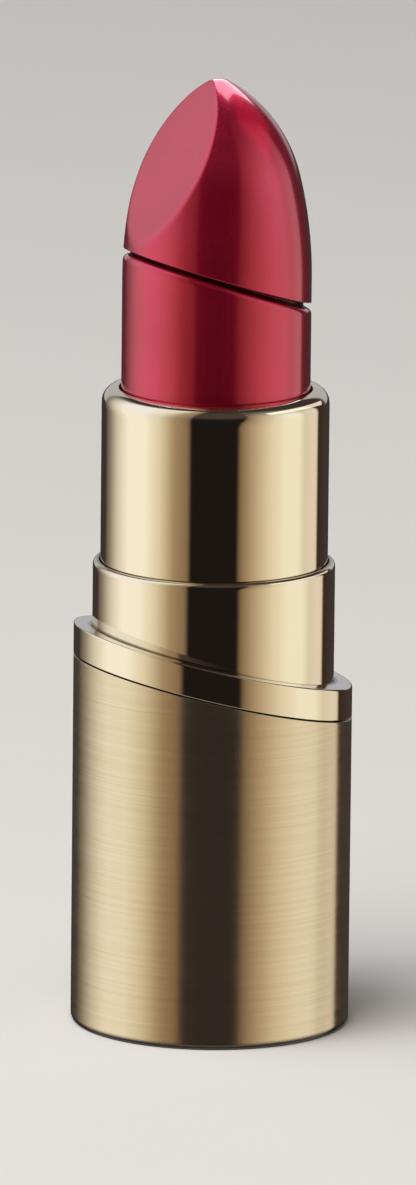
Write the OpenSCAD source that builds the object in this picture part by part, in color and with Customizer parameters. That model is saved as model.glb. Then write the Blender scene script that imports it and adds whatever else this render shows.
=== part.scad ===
// Twist-up lipstick: a weighted metal base with a slanted trim band, a swivel mechanism and a
// lipstick bullet. It stands on z = 0, its axis is Z and its front is -Y.
// The pieces are drawn with the bullet fully raised, which is where the swivel is stopped.

/* [Lipstick] */
// Diameter of the bullet
bullet_d = 12.7; // [12.5:0.1:12.9]
// Height at which the bullet's nose starts to curve in
nose_start = 51; // [50.5:0.1:51.5]
// Height where the slanted groove crosses the axis
groove_z = 50.95; // [50:0.05:51]
// Slope of the groove, in degrees
groove_tilt = 17.3; // [10:0.1:18]
// Turn of the groove's high side from the left towards the front, in degrees
groove_turn = 25; // [0:1:60]
// Height where the flat that is cut on the nose would cross the axis
facet_z = 65.5; // [65:0.1:67]
// Slope of the flat, in degrees from level
facet_fall = 62; // [58:1:66]
// Turn of the flat from the left towards the front, in degrees
facet_turn = 29; // [0:1:60]

/* [Base] */
// Diameter of the base and of the trim band
base_d = 18.8; // [18.6:0.1:20]
// Height where the seam under the trim band crosses the axis
seam_z = 23.15; // [22.5:0.05:23.5]
// Height of the trim band
band_h = 2.15; // [1.5:0.05:2.5]
// Slope of the trim band, in degrees
band_tilt = 13.4; // [0:0.1:14]
// Turn of the band's high side from the left towards the front, in degrees
band_turn = 19; // [0:1:60]
// Height of the top of the collar
collar_top = 31.7; // [31:0.1:33]
// Height of the steel weight in the foot
weight_h = 3.75; // [3:0.25:3.75]

/* [Mechanism] */
// Height of the rolled rim at the top of the swivel shell
shell_top = 43.5; // [43.2:0.1:44]
// How far the bullet is raised
travel = 22.4; // [20:0.1:22.4]
// Turns of the shell that raise the bullet all the way
turns = 1.75; // [1.5:0.25:2]
// Clearance between pieces that turn or slide in each other
run_gap = 0.08; // [0.06:0.01:0.1]

/* [Walls] */
// Wall of the cup that holds the bullet
cup_wall = 0.27; // [0.25:0.01:0.28]
// Wall of the slotted guide tube
guide_wall = 0.28; // [0.25:0.01:0.29]
// Wall of the spiral sleeve
spiral_wall = 0.34; // [0.3:0.01:0.35]
// Wall of the swivel shell
shell_wall = 0.25; // [0.2:0.01:0.26]
// Wall of the collar
collar_wall = 0.42; // [0.35:0.01:0.42]
// Wall of the base shell
base_wall = 0.5; // [0.4:0.05:0.5]

/* [Hidden] */
$fn = 96;

// Radii, from the bullet outwards
bullet_r = bullet_d / 2;
cup_r = bullet_r + cup_wall;
guide_in = cup_r + run_gap;
guide_out = guide_in + guide_wall;
spiral_in = guide_out + run_gap;
spiral_out = spiral_in + spiral_wall;
shell_out = spiral_out + shell_wall;
collar_in = shell_out + run_gap;
collar_out = collar_in + collar_wall;
base_r = base_d / 2;
liner_out = base_r - base_wall;

// Foot and base
foot_round = 0.4;                       // rounding of the base's lower edge
recess_r = 6.8;                         // recess under the foot, for the bottom disc
recess_depth = 0.35;
disc_gap = 0.05;                        // the disc sits this far inside the recess
floor_z = recess_depth + base_wall;     // inside floor of the base
ledge_z = floor_z + weight_h;           // underside of the liner's ledge
ledge_t = 0.8;
ledge_in = 6.5;
spigot_z = 17;                          // lower end of the band's skirt, where the liner ends

// Mechanism, from the foot upwards
guide_foot_z = ledge_z + ledge_t;
guide_foot_t = 1;
end_gap = 0.1;                          // clearance at the ends and edges of turning pieces
flange_z = guide_foot_z + guide_foot_t + end_gap;
flange_t = 0.8;
ring_r = 0.35;                          // section radius of the drag ring
ring_slack = 0.05;                      // the ring's clearance over the turning flange
lip_z = flange_z + flange_t + ring_slack + 2 * ring_r;
lip_t = 0.6;
shell_bottom = 20;

// Rolled rim of the swivel shell
rim_round = 1;
rim_room = 0.3;                         // between the rolled rim and the tubes inside it
rim_mouth = bullet_r + 0.15;
tube_top = shell_top - rim_round - rim_room;

// Elevator and cup, in their raised place
lug_r = 0.9;
slot_gap = 0.15;                        // clearance of a lug in its slots
slot_foot = 0.8;                        // wall left between the flange and the slots
lug_reach = spiral_out - end_gap;       // outer end of a lug
lug_root = 1;                           // length of a lug inside the elevator's puck
lug_z = flange_z + flange_t + slot_foot + lug_r + slot_gap + travel;
elevator_h = 2.2;
elevator_z = lug_z - elevator_h / 2;
boss_r = 2;                             // boss that anchors the cup and the bullet
boss_h = 2;
cup_z = elevator_z + elevator_h;
cup_floor = 0.6;
cup_drop = 0.2;                         // the cup's mouth is this far below the tubes' tops
cup_top = tube_top - cup_drop;

// Spiral: lead of the helix, and the sector of the wall that one slot takes out
lead = travel / turns;
slot_w = 2 * (lug_r + slot_gap);
lead_angle = atan(lead / (2 * PI * spiral_in));
slot_sector = 360 * slot_w / cos(lead_angle) / lead;
slot_step = 9;                          // degrees of turn between two slices of a slot

// Bullet: the nose is a long arc that runs into a short one, blunted at the tip
groove_w = 0.34;
groove_depth = 0.55;
nose_long = 29;                         // radius of the long arc
nose_short = 10;                        // radius of the short arc
nose_bend = 14;                         // degrees at which the short arc takes over
join_r = bullet_r - nose_long * (1 - cos(nose_bend));
join_z = nose_start + nose_long * sin(nose_bend);
short_r = join_r - nose_short * cos(nose_bend);    // centre of the short arc
short_z = join_z - nose_short * sin(nose_bend);
tip_z = 64.5;                           // height of the blunted tip

collar_edge = 0.32;                     // rounding of the collar's upper edge
big = 40;                               // larger than any piece
weld = 0.01;                            // overlap that joins the solids of one piece

// A tube or a disc about the axis, between two heights
module ring(r_in, r_out, z0, z1) {
    translate([0, 0, z0])
        rotate_extrude()
            translate([r_in, 0])
                square([r_out - r_in, z1 - z0]);
}

// Quarter of a disc, which rounds the corner of an outline
module corner_round(r) {
    intersection() {
        circle(r = r);
        square(r);
    }
}

// All that is above a plane through (0, 0, z) whose high side is turned from -X towards -Y
module above_slope(z, tilt, turn) {
    translate([0, 0, z])
        rotate([0, 0, turn])
            rotate([0, tilt, 0])
                translate([-big, -big, 0])
                    cube(2 * big);
}

// A sector about the axis, long enough to cut right through the spiral's wall
module slot_section(angle) {
    reach = spiral_out + slot_gap;
    parts = 6;
    polygon(concat(
        [[0, 0]],
        [for (i = [0 : parts]) let (a = angle * (i / parts - 0.5)) reach * [cos(a), sin(a)]]
    ));
}

// One helical slot, which a lug follows from its lowest place to its highest
module helical_slot() {
    end_room = lug_r + slot_gap;
    height = travel + 2 * end_room;
    translate([0, 0, lug_z - travel - end_room])
        rotate([0, 0, 360 * (travel + end_room) / lead])
            linear_extrude(
                height = height,
                twist = 360 * height / lead,
                slices = ceil(360 * height / lead / slot_step),
                $fn = 16
            )
                slot_section(slot_sector);
}

// Brushed outer shell of the base, closed below and cut off along the slanted seam
module base_shell() {
    color("#d8bf98")
        difference() {
            rotate_extrude() {
                translate([0, foot_round])
                    square([base_r, big]);
                square([base_r - foot_round, foot_round]);
                translate([base_r - foot_round, foot_round])
                    mirror([0, 1])
                        corner_round(foot_round);
            }
            translate([0, 0, floor_z])
                cylinder(r = liner_out, h = big);
            translate([0, 0, -1])
                cylinder(r = recess_r, h = 1 + recess_depth);
            above_slope(seam_z, band_tilt, band_turn);
        }
}

// Thin plate in the recess under the foot
module bottom_disc() {
    color("#e7d6b4")
        ring(0, recess_r - disc_gap, disc_gap, recess_depth);
}

// Plastic liner that centres the mechanism in the base and holds the weight down
module base_liner() {
    color("#3a3634") {
        ring(collar_out, liner_out, floor_z, spigot_z);
        ring(ledge_in, collar_out, ledge_z, ledge_z + ledge_t);
    }
}

// Steel slug that makes the base heavy
module weight() {
    color("#8d8f92")
        ring(0, collar_out - disc_gap, floor_z, ledge_z);
}

// Polished slanted trim band, with a skirt that plugs into the base
module slant_band() {
    color("#efdcb6")
        difference() {
            union() {
                ring(collar_out, liner_out, spigot_z, big);
                intersection() {
                    ring(collar_out, base_r, spigot_z, big);
                    above_slope(seam_z, band_tilt, band_turn);
                }
            }
            above_slope(seam_z + band_h, band_tilt, band_turn);
        }
}

// Polished collar, with an inner lip at its lower end that keeps the spiral sleeve in
module collar() {
    shoulder_z = collar_top - collar_edge;
    color("#ecd8b0")
        rotate_extrude() {
            translate([collar_in, lip_z])
                square([collar_wall, shoulder_z - lip_z]);
            translate([collar_in, shoulder_z - weld])
                square([collar_wall - collar_edge, collar_edge + weld]);
            translate([collar_out - collar_edge, shoulder_z])
                corner_round(collar_edge);
            translate([spiral_out + run_gap, lip_z])
                square([collar_out - spiral_out - run_gap, lip_t]);
        }
}

// Tube with two upright slots, fixed to the base, which keeps the elevator from turning
module guide_tube() {
    color("#f2f0ea")
        difference() {
            union() {
                ring(0, collar_out, guide_foot_z, guide_foot_z + guide_foot_t);
                ring(guide_in, guide_out, guide_foot_z + guide_foot_t, tube_top);
            }
            translate([-big / 2, -slot_w / 2, lug_z - travel - slot_w / 2])
                cube([big, slot_w, travel + slot_w]);
        }
}

// Soft ring that gives the swivel its drag
module drag_ring() {
    color("#4b4b4b")
        translate([0, 0, lip_z - ring_r])
            rotate_extrude()
                translate([(spiral_out + collar_out) / 2, 0])
                    circle(r = ring_r);
}

// Polished shell that the user turns, with a rolled rim round the bullet
module swivel_shell() {
    color("#ecd8b0")
        rotate_extrude() {
            translate([spiral_out, shell_bottom])
                square([shell_wall, shell_top - rim_round - shell_bottom]);
            translate([shell_out - rim_round, shell_top - rim_round])
                difference() {
                    corner_round(rim_round);
                    circle(r = rim_round - shell_wall);
                }
            translate([rim_mouth, shell_top - shell_wall])
                square([shell_out - rim_round - rim_mouth, shell_wall]);
        }
}

// Sleeve with two helical slots, fixed in the swivel shell
module spiral_sleeve() {
    color("#e9e6de")
        difference() {
            union() {
                ring(spiral_in, spiral_out, flange_z, tube_top);
                ring(spiral_in, collar_out - end_gap, flange_z, flange_z + flange_t);
            }
            for (side = [0, 180])
                rotate([0, 0, side])
                    helical_slot();
        }
}

// Puck with two lugs, which rides up the guide tube as the spiral turns
module elevator() {
    color("#f2f0ea") {
        ring(0, cup_r, elevator_z, elevator_z + elevator_h);
        translate([0, 0, cup_z - weld])
            cylinder(r = boss_r, h = boss_h + weld);
        for (side = [0, 180])
            rotate([0, 0, side])
                translate([cup_r - lug_root, 0, lug_z])
                    rotate([0, 90, 0])
                        cylinder(r = lug_r, h = lug_root + lug_reach - cup_r);
    }
}

// Thin metal cup that holds the bullet, fixed on the elevator's boss
module cup() {
    color("#d9d4c6") {
        ring(boss_r, cup_r, cup_z, cup_z + cup_floor);
        ring(bullet_r, cup_r, cup_z + cup_floor - weld, cup_top);
    }
}

// Half outline of the bullet
module bullet_outline() {
    foot = cup_z + cup_floor;
    translate([0, foot])
        square([bullet_r, nose_start - foot]);
    intersection() {
        translate([bullet_r - nose_long, nose_start])
            circle(r = nose_long);
        translate([0, nose_start])
            square([bullet_r, join_z - nose_start]);
    }
    intersection() {
        translate([short_r, short_z])
            circle(r = nose_short);
        translate([0, join_z])
            square([bullet_r, tip_z - join_z]);
    }
}

// Lipstick bullet, with a slanted groove round it and a flat on its nose
module bullet() {
    color("#a81c33")
        difference() {
            rotate_extrude()
                bullet_outline();
            difference() {
                above_slope(groove_z - groove_w / 2, groove_tilt, groove_turn);
                above_slope(groove_z + groove_w / 2, groove_tilt, groove_turn);
                cylinder(r = bullet_r - groove_depth, h = 2 * big);
            }
            above_slope(facet_z, -facet_fall, facet_turn);
            translate([0, 0, cup_z])
                cylinder(r = boss_r, h = boss_h);
        }
}

base_shell();
bottom_disc();
base_liner();
weight();
slant_band();
collar();
guide_tube();
drag_ring();
swivel_shell();
spiral_sleeve();
elevator();
cup();
bullet();
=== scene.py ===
"""Twist-up lipstick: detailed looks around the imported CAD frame.

All lengths are in metres. The lipstick's axis is Z, and its front is at -Y.
"""

import math

import bpy
import bmesh
from mathutils import Matrix, Vector


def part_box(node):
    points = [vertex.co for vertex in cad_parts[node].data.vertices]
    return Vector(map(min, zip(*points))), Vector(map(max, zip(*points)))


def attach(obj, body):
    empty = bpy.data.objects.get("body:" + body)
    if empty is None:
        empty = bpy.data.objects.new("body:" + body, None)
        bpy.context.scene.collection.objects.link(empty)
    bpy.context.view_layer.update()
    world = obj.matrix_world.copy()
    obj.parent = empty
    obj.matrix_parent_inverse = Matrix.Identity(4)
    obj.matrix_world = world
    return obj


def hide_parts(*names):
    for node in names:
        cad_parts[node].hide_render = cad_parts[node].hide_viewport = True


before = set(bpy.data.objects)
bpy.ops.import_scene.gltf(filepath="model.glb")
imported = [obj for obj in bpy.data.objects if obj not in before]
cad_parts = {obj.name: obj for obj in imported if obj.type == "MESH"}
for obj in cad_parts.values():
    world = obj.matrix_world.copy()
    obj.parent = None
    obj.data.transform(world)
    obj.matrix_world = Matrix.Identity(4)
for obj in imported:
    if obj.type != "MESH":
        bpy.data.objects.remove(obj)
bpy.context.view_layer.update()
scene = bpy.context.scene

MM = 0.001

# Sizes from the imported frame
BASE_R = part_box("base_shell")[1].x
SHELL_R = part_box("swivel_shell")[1].x
SHELL_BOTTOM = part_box("swivel_shell")[0].z
SHELL_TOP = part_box("swivel_shell")[1].z
COLLAR_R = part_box("collar")[1].x
COLLAR_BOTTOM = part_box("collar")[0].z
COLLAR_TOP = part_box("collar")[1].z
BULLET_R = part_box("bullet")[1].x
BULLET_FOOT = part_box("bullet")[0].z
RECESS_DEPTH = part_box("bottom_disc")[1].z
INNER_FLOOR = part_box("weight")[0].z

BASE_WALL = 0.5 * MM
SHELL_WALL = 0.25 * MM
TOUCH = 0.01 * MM  # room between two metal pieces that are pressed together

# Slanted planes: height on the axis, slope, and turn of the high side from -X towards -Y
SEAM_Z = 23.15 * MM
SEAM_GAP = 0.1 * MM
BAND_H = 2.15 * MM
BAND_TILT = math.radians(13.4)
BAND_TURN = math.radians(19)
GROOVE_Z = 50.95 * MM
GROOVE_TILT = math.radians(17.3)
GROOVE_TURN = math.radians(25)
FACET_Z = 65.5 * MM
FACET_FALL = math.radians(62)
FACET_TURN = math.radians(29)

# Section of the groove round the bullet, and the softened edge of the flat on its nose
GROOVE_HALF = 0.17 * MM
GROOVE_DEPTH = 0.55 * MM
GROOVE_LIP = 0.45 * MM
GROOVE_ROOT = 0.10 * MM
GROOVE_EDGE = 0.07 * MM
GROOVE_LEAD = 1.6 * MM  # height below the groove over which the mesh follows its slant
FACET_EDGE = 0.16 * MM

# Nose of the bullet: a long arc that runs into a short one, which ends in a ball
NOSE_START = 51 * MM
NOSE_LONG = 29 * MM
NOSE_SHORT = 10 * MM
NOSE_BEND = math.radians(14)
TIP_BALL = 1.4 * MM

# Mesh density
ROUND = 256  # segments round a metal piece
BULLET_ROUND = 384
ROWS_BELOW = 10  # rings of the bullet under its groove
ROWS_ABOVE = 150


# ---------------------------------------------------------------- meshes


def rise(x, y, tilt, turn):
    """Height at (x, y) of a slanted plane through the origin."""
    return -math.tan(tilt) * (x * math.cos(turn) + y * math.sin(turn))


def fillet(before, corner, after, radius, steps=6):
    """Points of an arc at a corner, with a point on each straight side to hold the shading."""
    a = (before - corner).normalized()
    b = (after - corner).normalized()
    half = a.angle(b) / 2
    reach = radius / math.tan(half)
    centre = corner + (a + b).normalized() * radius / math.sin(half)
    u = corner + a * reach - centre
    v = corner + b * reach - centre
    sweep = u.angle(v)
    arc = [
        centre + (u * math.sin((1 - i / steps) * sweep) + v * math.sin(i / steps * sweep)) / math.sin(sweep)
        for i in range(steps + 1)
    ]
    margin = 0.3 * radius
    hold = reach + margin
    ahead = [corner + a * hold] if (before - corner).length > hold + margin else []
    behind = [corner + b * hold] if (after - corner).length > hold + margin else []
    return ahead + arc + behind


def outline(corners, closed):
    """Rounds a polygon of (r, z, rounding, share). A share of 1 makes a corner follow the slanted plane."""
    points = []
    count = len(corners)
    for i, (r, z, radius, share) in enumerate(corners):
        inner = closed or 0 < i < count - 1
        if radius and inner:
            before = Vector(corners[i - 1][:2])
            after = Vector(corners[(i + 1) % count][:2])
            points += [(p.x, p.y, share) for p in fillet(before, Vector((r, z)), after, radius)]
        else:
            points.append((r, z, share))
    return points


def grid_mesh(name, rows, closed):
    """A mesh from rings of points; a ring of one point is a pole."""
    mesh = bpy.data.meshes.new(name)
    bm = bmesh.new()
    rings = [[bm.verts.new(p) for p in row] for row in rows]
    pairs = list(zip(rings, rings[1:]))
    if closed:
        pairs.append((rings[-1], rings[0]))
    for low, high in pairs:
        for i in range(max(len(low), len(high))):
            corners = [
                low[i % len(low)],
                low[(i + 1) % len(low)],
                high[(i + 1) % len(high)],
                high[i % len(high)],
            ]
            face = []
            for v in corners:
                if v not in face:
                    face.append(v)
            if len(face) > 2:
                bm.faces.new(face)
    bmesh.ops.recalc_face_normals(bm, faces=bm.faces[:])
    for f in bm.faces:
        f.smooth = True
    bm.to_mesh(mesh)
    bm.free()
    obj = bpy.data.objects.new(name, mesh)
    scene.collection.objects.link(obj)
    return obj


def lathe(name, corners, closed=True, tilt=0.0, turn=0.0):
    """Turns an outline about Z. Points with a share follow a slanted plane."""
    rows = []
    for r, z, share in outline(corners, closed):
        if r == 0:
            rows.append([(0, 0, z)])
            continue
        row = []
        for i in range(ROUND):
            angle = 2 * math.pi * i / ROUND
            x = r * math.cos(angle)
            y = r * math.sin(angle)
            row.append((x, y, z + share * rise(x, y, tilt, turn)))
        rows.append(row)
    return grid_mesh(name, rows, closed)


def place(obj, body, slot, material, *nodes):
    """Gives a piece its body and its material, and hides the CAD nodes that it stands for."""
    obj.data.materials.append(material)
    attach(obj, body)
    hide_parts(*nodes)
    return obj


# ---------------------------------------------------------------- pieces


def make_base_shell(material):
    """Outer shell of the base: rounded foot, recess for the disc, and a slanted upper edge."""
    bore = BASE_R - BASE_WALL
    top = SEAM_Z - SEAM_GAP
    straight = 1.2 * MM  # height from which the wall is straight
    recess = 6.8 * MM
    corners = [
        (0, INNER_FLOOR, 0, 0),
        (bore, INNER_FLOOR, 0, 0),
        (bore, top, 0, 1),
        (BASE_R, top, 0.05 * MM, 1),
        (BASE_R, straight, 0, 0),
        (BASE_R, 0, 0.4 * MM, 0),
        (recess, 0, 0.1 * MM, 0),
        (recess, RECESS_DEPTH, 0, 0),
        (0, RECESS_DEPTH, 0, 0),
    ]
    obj = lathe("base_shell_brushed", corners, closed=False, tilt=BAND_TILT, turn=BAND_TURN)
    return place(obj, "base", "brushed_gold", material, "base_shell")


def make_slant_band(material):
    """Polished trim band between two slanted planes: a ledge round the collar, and a skirt in the base."""
    ledge = SEAM_Z + BAND_H
    inner = COLLAR_R + TOUCH
    skirt = BASE_R - BASE_WALL - TOUCH
    skirt_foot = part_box("slant_band")[0].z
    corners = [
        (inner, skirt_foot, 0, 0),
        (skirt, skirt_foot, 0, 0),
        (skirt, SEAM_Z, 0, 1),
        (BASE_R, SEAM_Z, 0.05 * MM, 1),
        (BASE_R, ledge, 0.13 * MM, 1),
        (inner, ledge, 0.06 * MM, 1),
    ]
    obj = lathe("slant_band_polished", corners, tilt=BAND_TILT, turn=BAND_TURN)
    return place(obj, "base", "polished_gold", material, "slant_band")


def make_collar(material):
    """Polished middle tube with a rolled upper edge."""
    inner = SHELL_R + 0.08 * MM
    corners = [
        (inner, COLLAR_BOTTOM, 0.05 * MM, 0),
        (COLLAR_R, COLLAR_BOTTOM, 0.05 * MM, 0),
        (COLLAR_R, COLLAR_TOP, 0.35 * MM, 0),
        (inner, COLLAR_TOP, 0.04 * MM, 0),
    ]
    obj = lathe("collar_polished", corners)
    return place(obj, "base", "polished_gold", material, "collar")


def make_swivel_shell(material):
    """Polished upper tube whose rim is rolled over towards the bullet."""
    bore = SHELL_R - SHELL_WALL
    mouth = BULLET_R + 0.15 * MM
    roll = 1.0 * MM
    corners = [
        (bore, SHELL_BOTTOM, 0, 0),
        (SHELL_R, SHELL_BOTTOM, 0.05 * MM, 0),
        (SHELL_R, SHELL_TOP, roll, 0),
        (mouth, SHELL_TOP, 0.1 * MM, 0),
        (mouth, SHELL_TOP - SHELL_WALL, 0.1 * MM, 0),
        (bore, SHELL_TOP - SHELL_WALL, roll - SHELL_WALL, 0),
    ]
    obj = lathe("swivel_shell_polished", corners)
    return place(obj, "swivel", "polished_gold", material, "swivel_shell")


JOIN_R = BULLET_R - NOSE_LONG * (1 - math.cos(NOSE_BEND))
JOIN_Z = NOSE_START + NOSE_LONG * math.sin(NOSE_BEND)
SHORT_R = JOIN_R - NOSE_SHORT * math.cos(NOSE_BEND)
SHORT_Z = JOIN_Z - NOSE_SHORT * math.sin(NOSE_BEND)
BALL_Z = SHORT_Z + math.sqrt((NOSE_SHORT - TIP_BALL) ** 2 - SHORT_R**2)
TOUCH_Z = BALL_Z + TIP_BALL * (BALL_Z - SHORT_Z) / (NOSE_SHORT - TIP_BALL)
TIP_Z = BALL_Z + TIP_BALL


def arc_radius(centre_r, centre_z, radius, z):
    """Radius at a height of the body that an arc sweeps round the axis."""
    return centre_r + math.sqrt(max(0.0, radius**2 - (z - centre_z) ** 2))


def nose_radius(z):
    """Radius of the uncut bullet at a height."""
    if z <= NOSE_START:
        return BULLET_R
    if z <= JOIN_Z:
        return arc_radius(BULLET_R - NOSE_LONG, NOSE_START, NOSE_LONG, z)
    if z <= TOUCH_Z:
        return arc_radius(SHORT_R, SHORT_Z, NOSE_SHORT, z)
    return arc_radius(0.0, BALL_Z, TIP_BALL, z)


def facet_radius(angle, z):
    """Distance from the axis to the flat in that direction and at that height; far off on its other side."""
    facing = math.cos(angle - math.pi - FACET_TURN)
    if facing < 1e-3:
        return 1.0
    return (FACET_Z - z) / math.tan(FACET_FALL) / facing


def smooth_min(a, b, width):
    """The smaller of two lengths, rounded off where they meet."""
    mix = max(0.0, min(1.0, 0.5 + (b - a) / (2 * width)))
    return b + (a - b) * mix - width * mix * (1 - mix)


def groove_profile():
    """Section of the groove as (inset, height) points, from below it to above it."""
    start = Vector((0, -GROOVE_LEAD))
    lower = Vector((0, -GROOVE_HALF))
    root = Vector((-GROOVE_DEPTH, GROOVE_HALF))
    upper = Vector((0, GROOVE_HALF))
    end = Vector((0, GROOVE_LEAD))
    points = [start]
    points += fillet(start, lower, lower + Vector((-1.5 * GROOVE_LIP, 0)), GROOVE_LIP, 10)
    points += fillet(Vector((-GROOVE_DEPTH, -2 * GROOVE_HALF)), root, upper, GROOVE_ROOT, 4)[:-1]
    points += fillet(root, upper, end, GROOVE_EDGE, 4)
    return points


def bullet_rings(groove):
    """Rings of the bullet from its foot up: the stretch that each is in, and the share or point of it."""
    rings = [("below", k / ROWS_BELOW) for k in range(ROWS_BELOW)]
    rings += [("groove", point) for point in groove]
    rings += [("above", k / ROWS_ABOVE) for k in range(1, ROWS_ABOVE)]
    return rings


def ring_height(stretch, part, angle, groove):
    """Height of a ring in that direction: slanted at the groove, and level at the foot and at the tip.

    The rings above the groove get closer towards the tip.
    """
    slope = rise(BULLET_R * math.cos(angle), BULLET_R * math.sin(angle), GROOVE_TILT, GROOVE_TURN)
    middle = GROOVE_Z + slope
    if stretch == "below":
        return BULLET_FOOT + (middle + groove[0].y - BULLET_FOOT) * part
    if stretch == "groove":
        return middle + part.y
    return TIP_Z - (TIP_Z - middle - groove[-1].y) * (1 - part) ** 2


def crease_share(inset):
    """How much a point is inside the groove: 0 on the surface and on the lips, 1 at the bottom."""
    return max(0.0, min(1.0, (-inset - 0.55 * GROOVE_DEPTH) / (0.3 * GROOVE_DEPTH)))


def make_bullet(material):
    """Wax bullet: a slanted groove with a rounded lower lip, and a flat cut on the nose."""
    groove = groove_profile()
    rows = [[(0, 0, BULLET_FOOT)]]
    creases = [0.0]
    for stretch, part in bullet_rings(groove):
        inset = part.x if stretch == "groove" else 0.0
        row = []
        for i in range(BULLET_ROUND):
            angle = 2 * math.pi * i / BULLET_ROUND
            z = ring_height(stretch, part, angle, groove)
            r = smooth_min(nose_radius(z), facet_radius(angle, z), FACET_EDGE) + inset
            r = max(r, 0.01 * MM)
            row.append((r * math.cos(angle), r * math.sin(angle), z))
        rows.append(row)
        creases += [crease_share(inset)] * BULLET_ROUND
    rows.append([(0, 0, TIP_Z)])
    creases.append(0.0)
    obj = grid_mesh("bullet_wax", rows, closed=False)
    # the crease share says where the groove's painted shade and thinner coat go
    obj.data.attributes.new("crease", "FLOAT", "POINT").data.foreach_set("value", creases)
    return place(obj, "carrier", "lipstick", material, "bullet")


# ---------------------------------------------------------------- materials


class Nodes:
    """A node tree with short ways to add nodes and link them."""

    def __init__(self, tree):
        self.tree = tree
        tree.nodes.clear()

    def add(self, kind, inputs=None, **settings):
        """A new node: an input that is a socket gets linked, and any other is a plain value."""
        node = self.tree.nodes.new(kind)
        for key, value in settings.items():
            setattr(node, key, value)
        for key, value in (inputs or {}).items():
            if isinstance(value, bpy.types.NodeSocket):
                self.tree.links.new(value, node.inputs[key])
            else:
                node.inputs[key].default_value = value
        return node

    def math(self, operation, *values):
        """Result of a Math node."""
        inputs = dict(enumerate(values))
        return self.add("ShaderNodeMath", inputs, operation=operation).outputs[0]

    def smooth(self, value, low, high, out_low=0.0, out_high=1.0):
        """A value mapped by a soft step that runs from low to high."""
        inputs = {"Value": value, "From Min": low, "From Max": high, "To Min": out_low, "To Max": out_high}
        node = self.add("ShaderNodeMapRange", inputs, interpolation_type="SMOOTHSTEP")
        return node.outputs["Result"]

    def spread(self, value, low, high):
        """A share from 0 to 1 spread over a range."""
        inputs = {"Value": value, "To Min": low, "To Max": high}
        return self.add("ShaderNodeMapRange", inputs).outputs["Result"]

    def ramp(self, value, stops):
        """Colour ramp through (position, colour) stops."""
        node = self.add("ShaderNodeValToRGB", {"Fac": value})
        elements = node.color_ramp.elements
        elements[0].position = stops[0][0]
        elements[0].color = (*stops[0][1], 1)
        elements[1].position = stops[-1][0]
        elements[1].color = (*stops[-1][1], 1)
        for position, colour in stops[1:-1]:
            elements.new(position).color = (*colour, 1)
        return node.outputs["Color"]

    def mix(self, factor, a, b, blend="MIX"):
        """Colour a blended towards b."""
        inputs = {"Factor": factor, 6: a, 7: b}
        node = self.add("ShaderNodeMix", inputs, data_type="RGBA", blend_type=blend)
        return node.outputs[2]

    def noise(self, scale, detail=4.0, roughness=0.5):
        """Noise in the piece's own space, stretched by a scale along each axis, in cycles a metre."""
        coords = self.add("ShaderNodeTexCoord").outputs["Object"]
        scaled = self.add("ShaderNodeMapping", {"Vector": coords, "Scale": scale}).outputs[0]
        inputs = {"Vector": scaled, "Scale": 1.0, "Detail": detail, "Roughness": roughness}
        return self.add("ShaderNodeTexNoise", inputs).outputs["Fac"]

    def from_axis(self):
        """Distance from the piece's axis."""
        coords = self.add("ShaderNodeTexCoord").outputs["Object"]
        flat = self.add("ShaderNodeVectorMath", {0: coords, 1: (1, 1, 0)}, operation="MULTIPLY").outputs[0]
        return self.add("ShaderNodeVectorMath", {0: flat}, operation="LENGTH").outputs["Value"]


def new_material(name):
    """A material with a Principled shader, its node tree and the shader."""
    material = bpy.data.materials.new(name)
    material.use_nodes = True
    nodes = Nodes(material.node_tree)
    shader = nodes.add("ShaderNodeBsdfPrincipled")
    out = nodes.add("ShaderNodeOutputMaterial")
    nodes.tree.links.new(shader.outputs[0], out.inputs["Surface"])
    return material, nodes, shader


def connect(nodes, shader, **sources):
    """Links sources to the shader's inputs; an underscore in a name stands for a space."""
    for key, source in sources.items():
        nodes.tree.links.new(source, shader.inputs[key.replace("_", " ")])


def bump(nodes, height, distance, strength=1.0):
    """Normal of a surface with fine relief of that depth."""
    inputs = {"Height": height, "Distance": distance, "Strength": strength}
    return nodes.add("ShaderNodeBump", inputs).outputs["Normal"]


# Colours of the painted shade in the joints, at the foot and in the groove
PAINTED_JOINT_SHADE_COLOUR = (0.22, 0.17, 0.11, 1)
PAINTED_FOOT_SHADE_COLOUR = (0.05, 0.04, 0.03, 1)
PAINTED_GROOVE_SHADE_COLOUR = (0.06, 0.003, 0.008, 1)

# Where that painted shade fades out: radii in the two joints, and heights at the foot
COLLAR_JOINT_SHADE = (SHELL_R + 0.14 * MM, SHELL_R + 0.36 * MM)
BAND_JOINT_SHADE = (COLLAR_R + 0.10 * MM, COLLAR_R + 0.40 * MM)
FOOT_SHADE = (0.20 * MM, 0.55 * MM)


def polished_gold(name, top=None, joint=None):
    """Polished champagne gold with faint drawing marks round it.

    top is the colour of a satin face that looks up. joint is the pair of radii over which a painted shade in
    the joint with the piece inside fades out.
    """
    material, nodes, shader = new_material(name)
    shader.inputs["Metallic"].default_value = 1.0
    marks = nodes.noise((60, 60, 2500), detail=3)
    haze = nodes.noise((180, 180, 120), detail=2)
    colour = nodes.mix(haze, (0.92, 0.80, 0.605, 1), (0.93, 0.82, 0.635, 1))
    if top:
        normal = nodes.add("ShaderNodeTexCoord").outputs["Normal"]
        upward = nodes.add("ShaderNodeSeparateXYZ", {0: normal}).outputs["Z"]
        facing_up = nodes.smooth(upward, 0.75, 0.93)
        colour = nodes.mix(facing_up, colour, (*top, 1))
    if joint:
        # painted shade in the joint with the piece inside, fading out over the two radii
        clear = nodes.smooth(nodes.from_axis(), *joint)
        colour = nodes.mix(clear, PAINTED_JOINT_SHADE_COLOUR, colour)
    rough = nodes.math("MULTIPLY_ADD", marks, 0.03, 0.04)
    if top:
        rough = nodes.math("MULTIPLY_ADD", facing_up, 0.08, rough)
    connect(nodes, shader, Base_Color=colour, Roughness=rough)
    return material


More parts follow.
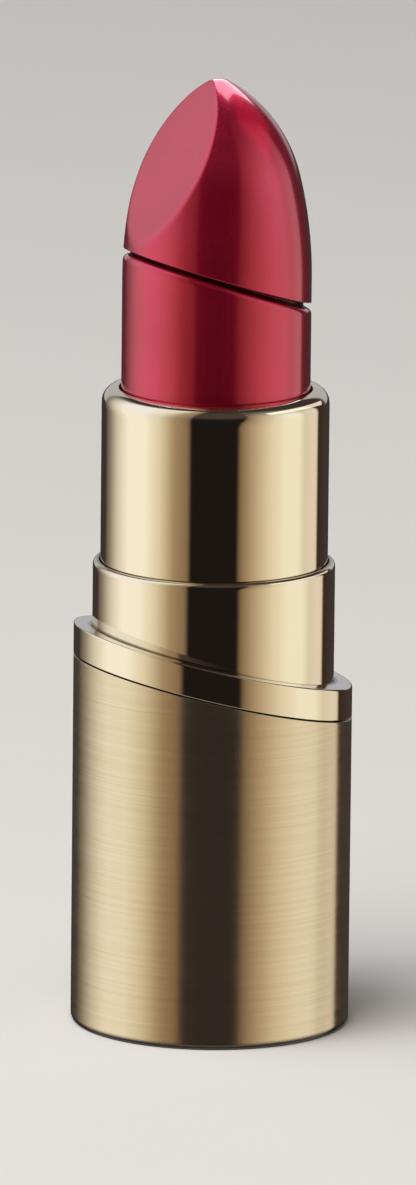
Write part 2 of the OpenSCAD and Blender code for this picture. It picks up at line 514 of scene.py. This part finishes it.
def brushed_gold():
    """Champagne gold brushed round the axis, with fine hairlines, and a painted shade where the foot curves
    under towards the table.
    """
    material, nodes, shader = new_material("brushed_gold")
    shader.inputs["Metallic"].default_value = 0.97
    fine = nodes.noise((60, 60, 10000), detail=2)
    coarse = nodes.noise((40, 40, 5200), detail=3, roughness=0.6)
    lines = nodes.math("MULTIPLY_ADD", fine, 0.5, nodes.math("MULTIPLY", coarse, 0.5))
    colour = nodes.ramp(lines, [(0.35, (0.740, 0.610, 0.422)), (0.65, (0.816, 0.686, 0.492))])
    # painted shade on the foot's rounding, where the table shades it
    coords = nodes.add("ShaderNodeTexCoord").outputs["Object"]
    height = nodes.add("ShaderNodeSeparateXYZ", {0: coords}).outputs["Z"]
    clear = nodes.smooth(height, *FOOT_SHADE)
    colour = nodes.mix(clear, PAINTED_FOOT_SHADE_COLOUR, colour)
    rough = nodes.smooth(lines, 0.36, 0.64, 0.13, 0.19)
    connect(nodes, shader, Base_Color=colour, Roughness=rough, Normal=bump(nodes, lines, 0.002 * MM, 0.15))
    return material


def lipstick_wax():
    """Pinkish-red satin wax with a slight pearl and faint streaks along it, with a painted shade deep in its
    groove, which is also duller.
    """
    material, nodes, shader = new_material("lipstick_wax")
    streaks = nodes.noise((2400, 2400, 60), detail=3)
    clouds = nodes.noise((260, 260, 260), detail=3)
    colour = nodes.ramp(clouds, [(0.3, (0.56, 0.009, 0.052)), (0.7, (0.62, 0.012, 0.064))])
    # painted shade deep in the groove
    crease = nodes.add("ShaderNodeAttribute", attribute_name="crease").outputs["Fac"]
    colour = nodes.mix(crease, colour, PAINTED_GROOVE_SHADE_COLOUR)
    coat = nodes.spread(crease, 1.0, 0.1)
    rough = nodes.spread(streaks, 0.20, 0.32)
    shader.inputs["Metallic"].default_value = 0.80
    shader.inputs["Coat IOR"].default_value = 1.56
    shader.inputs["Coat Roughness"].default_value = 0.07
    normal = bump(nodes, streaks, 0.009 * MM, 0.6)
    connect(nodes, shader, Base_Color=colour, Roughness=rough, Coat_Weight=coat, Normal=normal)
    return material


def moulded_plastic(name, dark, light, low, high):
    """Satin moulded plastic with a fine grain."""
    material, nodes, shader = new_material(name)
    grain = nodes.noise((3000, 3000, 3000), detail=3)
    cloud = nodes.noise((200, 200, 200), detail=2)
    colour = nodes.mix(cloud, (*dark, 1), (*light, 1))
    rough = nodes.spread(grain, low, high)
    connect(nodes, shader, Base_Color=colour, Roughness=rough, Normal=bump(nodes, grain, 0.01 * MM, 0.4))
    return material


def turned_metal(name, dark, light, low, high, scale):
    """Drawn or turned metal with marks along one direction."""
    material, nodes, shader = new_material(name)
    shader.inputs["Metallic"].default_value = 1.0
    marks = nodes.noise(scale, detail=4)
    colour = nodes.mix(marks, (*dark, 1), (*light, 1))
    rough = nodes.spread(marks, low, high)
    connect(nodes, shader, Base_Color=colour, Roughness=rough)
    return material


def circular_brushed():
    """Gold disc brushed in circles about its centre."""
    material, nodes, shader = new_material("circular_brushed_gold")
    shader.inputs["Metallic"].default_value = 1.0
    inputs = {"W": nodes.from_axis(), "Scale": 9000.0, "Detail": 3.0}
    rings = nodes.add("ShaderNodeTexNoise", inputs, noise_dimensions="1D").outputs["Fac"]
    colour = nodes.mix(rings, (0.72, 0.60, 0.42, 1), (0.85, 0.73, 0.54, 1))
    rough = nodes.spread(rings, 0.2, 0.38)
    connect(nodes, shader, Base_Color=colour, Roughness=rough)
    return material


# ---------------------------------------------------------------- studio


def make_floor():
    """Plain pale floor. Glossy rays pass it, so the metal reflects the studio below the horizon instead."""
    material, nodes, shader = new_material("pale_floor")
    grain = nodes.noise((30, 30, 30), detail=3)
    colour = nodes.mix(grain, (0.80, 0.79, 0.775, 1), (0.83, 0.82, 0.805, 1))
    shader.inputs["Roughness"].default_value = 0.9
    shader.inputs["Specular IOR Level"].default_value = 0.1
    connect(nodes, shader, Base_Color=colour)
    half = 3.0
    corners = [(-half, -half, 0), (half, -half, 0), (half, half, 0), (-half, half, 0)]
    mesh = bpy.data.meshes.new("floor")
    mesh.from_pydata(corners, [], [(0, 1, 2, 3)])
    floor = bpy.data.objects.new("floor", mesh)
    scene.collection.objects.link(floor)
    floor.data.materials.append(material)
    floor.visible_glossy = False


BLACK = (0.012, 0.010, 0.010)
BACK = (0.045, 0.036, 0.036)
TABLE = (0.50, 0.49, 0.47)
CARD = (0.46, 0.47, 0.50)
BACKDROP = (0.78, 0.77, 0.755)

# Colours round the horizon by azimuth in degrees: 0 is towards the camera, and positive is to the right.
# A soft box stands at each side, with a dark gap between them in front and the dark room behind.
HORIZON = [
    (-180, BACK),
    (-146, BACK),
    (-131, (0.29, 0.265, 0.22)),
    (-114, (0.74, 0.71, 0.64)),
    (-98, (1.01, 1.0, 0.97)),
    (-76, (1.0, 1.0, 0.96)),
    (-58, (0.77, 0.72, 0.57)),
    (-42, (0.39, 0.29, 0.18)),
    (-28, (0.25, 0.17, 0.11)),
    (-23.7, BLACK),
    (22, BLACK),
    (26, (0.22, 0.16, 0.10)),
    (36, (0.43, 0.33, 0.22)),
    (58, (0.79, 0.72, 0.57)),
    (76, (0.94, 0.92, 0.82)),
    (94, (0.94, 0.92, 0.82)),
    (104, (0.74, 0.70, 0.59)),
    (118, (0.80, 0.74, 0.68)),
    (125, (0.78, 0.70, 0.60)),
    (129, (0.04, 0.025, 0.015)),
    (150, (0.05, 0.04, 0.04)),
    (180, BACK),
]


def sine(angle):
    """Z of a unit direction at that elevation in degrees."""
    return math.sin(math.radians(angle))


def soft_boxes(nodes, split, angle):
    """The horizon's colours carried up: the left box widens to the back, and the right one narrows."""
    far_left = nodes.smooth(angle, math.radians(-60), math.radians(-115))
    far_right = nodes.smooth(angle, math.radians(60), math.radians(115), -0.55, 0.5)
    side = nodes.math("MULTIPLY_ADD", far_right, nodes.smooth(angle, 0.0, math.radians(20)), far_left)
    lean = nodes.math("MAXIMUM", nodes.math("MULTIPLY_ADD", split["Z"], 0.5, 0.104), 0.0)
    leaning = nodes.math("ADD", angle, nodes.math("MULTIPLY", side, lean))
    share = nodes.math("MULTIPLY_ADD", leaning, 1 / (2 * math.pi), 0.5)
    return nodes.ramp(share, [(azimuth / 360 + 0.5, colour) for azimuth, colour in HORIZON])


def upper_studio(nodes, split, angle, front, light):
    """Above the horizon: cooler boxes, a faint warm glow in front, and the dark room over them."""
    above = nodes.smooth(split["Z"], sine(-6), sine(8))
    cooler = nodes.mix(nodes.smooth(angle, -0.4, 0.4), (0.93, 1.0, 1.12, 1), (1.0, 1.06, 1.18, 1))
    light = nodes.mix(above, light, nodes.mix(1.0, light, cooler, "MULTIPLY"))
    in_front = nodes.smooth(front, 0.0, 0.5)
    glow = nodes.math("MULTIPLY", nodes.smooth(split["Z"], sine(14), sine(40)), in_front)
    light = nodes.mix(glow, light, nodes.mix(1.0, light, (0.06, 0.045, 0.04, 1), "ADD"))
    # the right box fades as it goes up and back
    slant = nodes.math("MULTIPLY_ADD", split["Y"], 0.35, split["Z"])
    right = nodes.smooth(angle, math.radians(15), math.radians(50))
    past_right = nodes.math("MULTIPLY", right, nodes.smooth(slant, 0.15, 1.0))
    light = nodes.mix(past_right, light, (*BACK, 1))
    # the dark top comes lower at the back, and a little lower on the right
    top = nodes.math("MULTIPLY_ADD", split["Y"], 0.55, split["Z"])
    top = nodes.math("MULTIPLY_ADD", split["X"], 0.12, top)
    return nodes.mix(nodes.smooth(top, 0.82, 0.96), light, (*BACK, 1))


def table_and_card(nodes, split, light):
    """Adds a pale table far below the horizon, and a pale card straight behind the lipstick."""
    table = nodes.smooth(split["Z"], sine(-28), sine(-44))
    light = nodes.mix(table, light, (*TABLE, 1))
    low_edge = nodes.smooth(split["Z"], sine(-3), sine(1))
    high_edge = nodes.smooth(split["Z"], sine(32), sine(24))
    behind = nodes.smooth(split["Y"], 0.80, 0.88)
    card = nodes.math("MULTIPLY", nodes.math("MULTIPLY", low_edge, high_edge), behind)
    return nodes.mix(card, light, (*CARD, 1))


def make_world():
    """Studio painted by world direction for light and reflections, and a plain backdrop for the camera."""
    world = bpy.data.worlds.new("studio")
    scene.world = world
    world.use_nodes = True
    nodes = Nodes(world.node_tree)
    direction = nodes.add("ShaderNodeTexCoord").outputs["Generated"]
    split = nodes.add("ShaderNodeSeparateXYZ", {0: direction}).outputs
    front = nodes.math("MULTIPLY", split["Y"], -1.0)
    angle = nodes.math("ARCTAN2", split["X"], front)
    light = soft_boxes(nodes, split, angle)
    light = upper_studio(nodes, split, angle, front, light)
    light = table_and_card(nodes, split, light)
    studio = nodes.add("ShaderNodeBackground", {"Color": light, "Strength": 1.0}).outputs[0]
    plain = nodes.add("ShaderNodeBackground", {"Color": (*BACKDROP, 1), "Strength": 1.0}).outputs[0]
    seen = nodes.add("ShaderNodeLightPath").outputs["Is Camera Ray"]
    both = nodes.add("ShaderNodeMixShader", {0: seen, 1: studio, 2: plain}).outputs[0]
    nodes.add("ShaderNodeOutputWorld", {"Surface": both})


def add_area(name, towards, target, distance, size, radiance, colour, roll=0.0):
    """A rectangular area light, seen from its target at an azimuth and elevation in degrees, with a roll."""
    azimuth, elevation = (math.radians(a) for a in towards)
    level = math.cos(elevation)
    direction = Vector((math.sin(azimuth) * level, -math.cos(azimuth) * level, math.sin(elevation)))
    data = bpy.data.lights.new(name, "AREA")
    data.shape = "RECTANGLE"
    data.size, data.size_y = size
    data.energy = math.pi * size[0] * size[1] * radiance
    data.color = colour
    lamp = bpy.data.objects.new(name, data)
    lamp.location = Vector(target) + direction * distance
    turn = (-direction).to_track_quat("-Z", "Y").to_matrix() @ Matrix.Rotation(math.radians(roll), 3, "Z")
    lamp.rotation_euler = turn.to_euler()
    scene.collection.objects.link(lamp)
    return lamp


def light_only(lamp, *pieces):
    """Lets a light reach only these pieces."""
    receivers = bpy.data.collections.new(lamp.name + "_receivers")
    for piece in pieces:
        receivers.objects.link(piece)
    lamp.light_linking.receiver_collection = receivers


def make_lights(shell, collar, bullet):
    """One light for the floor and its soft shadow, and three that each finish one highlight."""
    floor_light = add_area(
        "floor_light",
        towards=(-40, 64),
        target=(0, 0, 0.02),
        distance=0.9,
        size=(0.62, 0.62),
        radiance=5.6,
        colour=(1.0, 0.98, 0.95),
    )
    floor_light.visible_glossy = False

    # the pale highlight along the edge of the tip
    tip_light = add_area(
        "tip_light",
        towards=(175, 52),
        target=(0, 0, TIP_Z),
        distance=0.5,
        size=(0.455, 0.52),
        radiance=3.8,
        colour=(0.66, 0.93, 0.97),
        roll=-14,
    )
    light_only(tip_light, bullet)

    # stands in for light that scatters inside the wax of the nose
    nose_light = add_area(
        "nose_light",
        towards=(110, 45),
        target=(0, 0, TIP_Z),
        distance=0.5,
        size=(0.42, 0.35),
        radiance=0.40,
        colour=(1.0, 0.04, 0.15),
    )
    light_only(nose_light, bullet)

    # the bright streak on the rolled rims
    rim_light = add_area(
        "rim_light",
        towards=(108, 31),
        target=(0, 0, SHELL_TOP),
        distance=0.5,
        size=(0.74, 0.13),
        radiance=0.8,
        colour=(1.0, 0.93, 0.90),
        roll=-27,
    )
    light_only(rim_light, shell, collar)


def make_camera():
    """Long lens, 12 degrees above level, rolled a little so that the lipstick leans as in the picture."""
    elevation = math.radians(12.053)
    roll = math.radians(0.598)
    distance = 0.9
    aim = Vector((-0.000382, 0, 0.02940))
    back = Vector((0, -math.cos(elevation), math.sin(elevation)))
    data = bpy.data.cameras.new("camera")
    data.sensor_width = 36
    data.lens = 406.45
    data.clip_start = 0.01
    data.clip_end = 20
    data.dof.use_dof = False
    camera = bpy.data.objects.new("camera", data)
    scene.collection.objects.link(camera)
    turn = (-back).to_track_quat("-Z", "Y").to_matrix().to_4x4() @ Matrix.Rotation(roll, 4, "Z")
    camera.matrix_world = Matrix.Translation(aim + back * distance) @ turn
    scene.camera = camera


# ---------------------------------------------------------------- scene

make_base_shell(brushed_gold())
make_slant_band(polished_gold("polished_gold_band", top=(0.93, 0.87, 0.78), joint=BAND_JOINT_SHADE))
collar = make_collar(polished_gold("polished_gold_collar", joint=COLLAR_JOINT_SHADE))
shell = make_swivel_shell(polished_gold("polished_gold"))
bullet = make_bullet(lipstick_wax())

# The pieces inside keep their CAD shape and get their material
white = moulded_plastic("white_plastic", (0.80, 0.78, 0.73), (0.86, 0.84, 0.79), 0.34, 0.48)
dark = moulded_plastic("dark_plastic", (0.030, 0.028, 0.027), (0.042, 0.039, 0.037), 0.38, 0.55)
rubber = moulded_plastic("drag_rubber", (0.02, 0.02, 0.02), (0.03, 0.03, 0.03), 0.6, 0.8)
steel = turned_metal("weight_steel", (0.42, 0.43, 0.45), (0.58, 0.59, 0.61), 0.25, 0.45, (60, 60, 5000))
drawn = turned_metal("cup_metal", (0.70, 0.67, 0.61), (0.80, 0.77, 0.71), 0.2, 0.32, (700, 700, 60))
inner_materials = {
    "bottom_disc": circular_brushed(),
    "base_liner": dark,
    "weight": steel,
    "guide_tube": white,
    "drag_ring": rubber,
    "spiral_sleeve": white,
    "elevator": white,
    "cup": drawn,
}
for node, material in inner_materials.items():
    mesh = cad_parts[node].data
    mesh.materials.clear()
    mesh.materials.append(material)

make_floor()
make_world()
make_lights(shell, collar, bullet)
make_camera()
scene.view_settings.view_transform = "Standard"
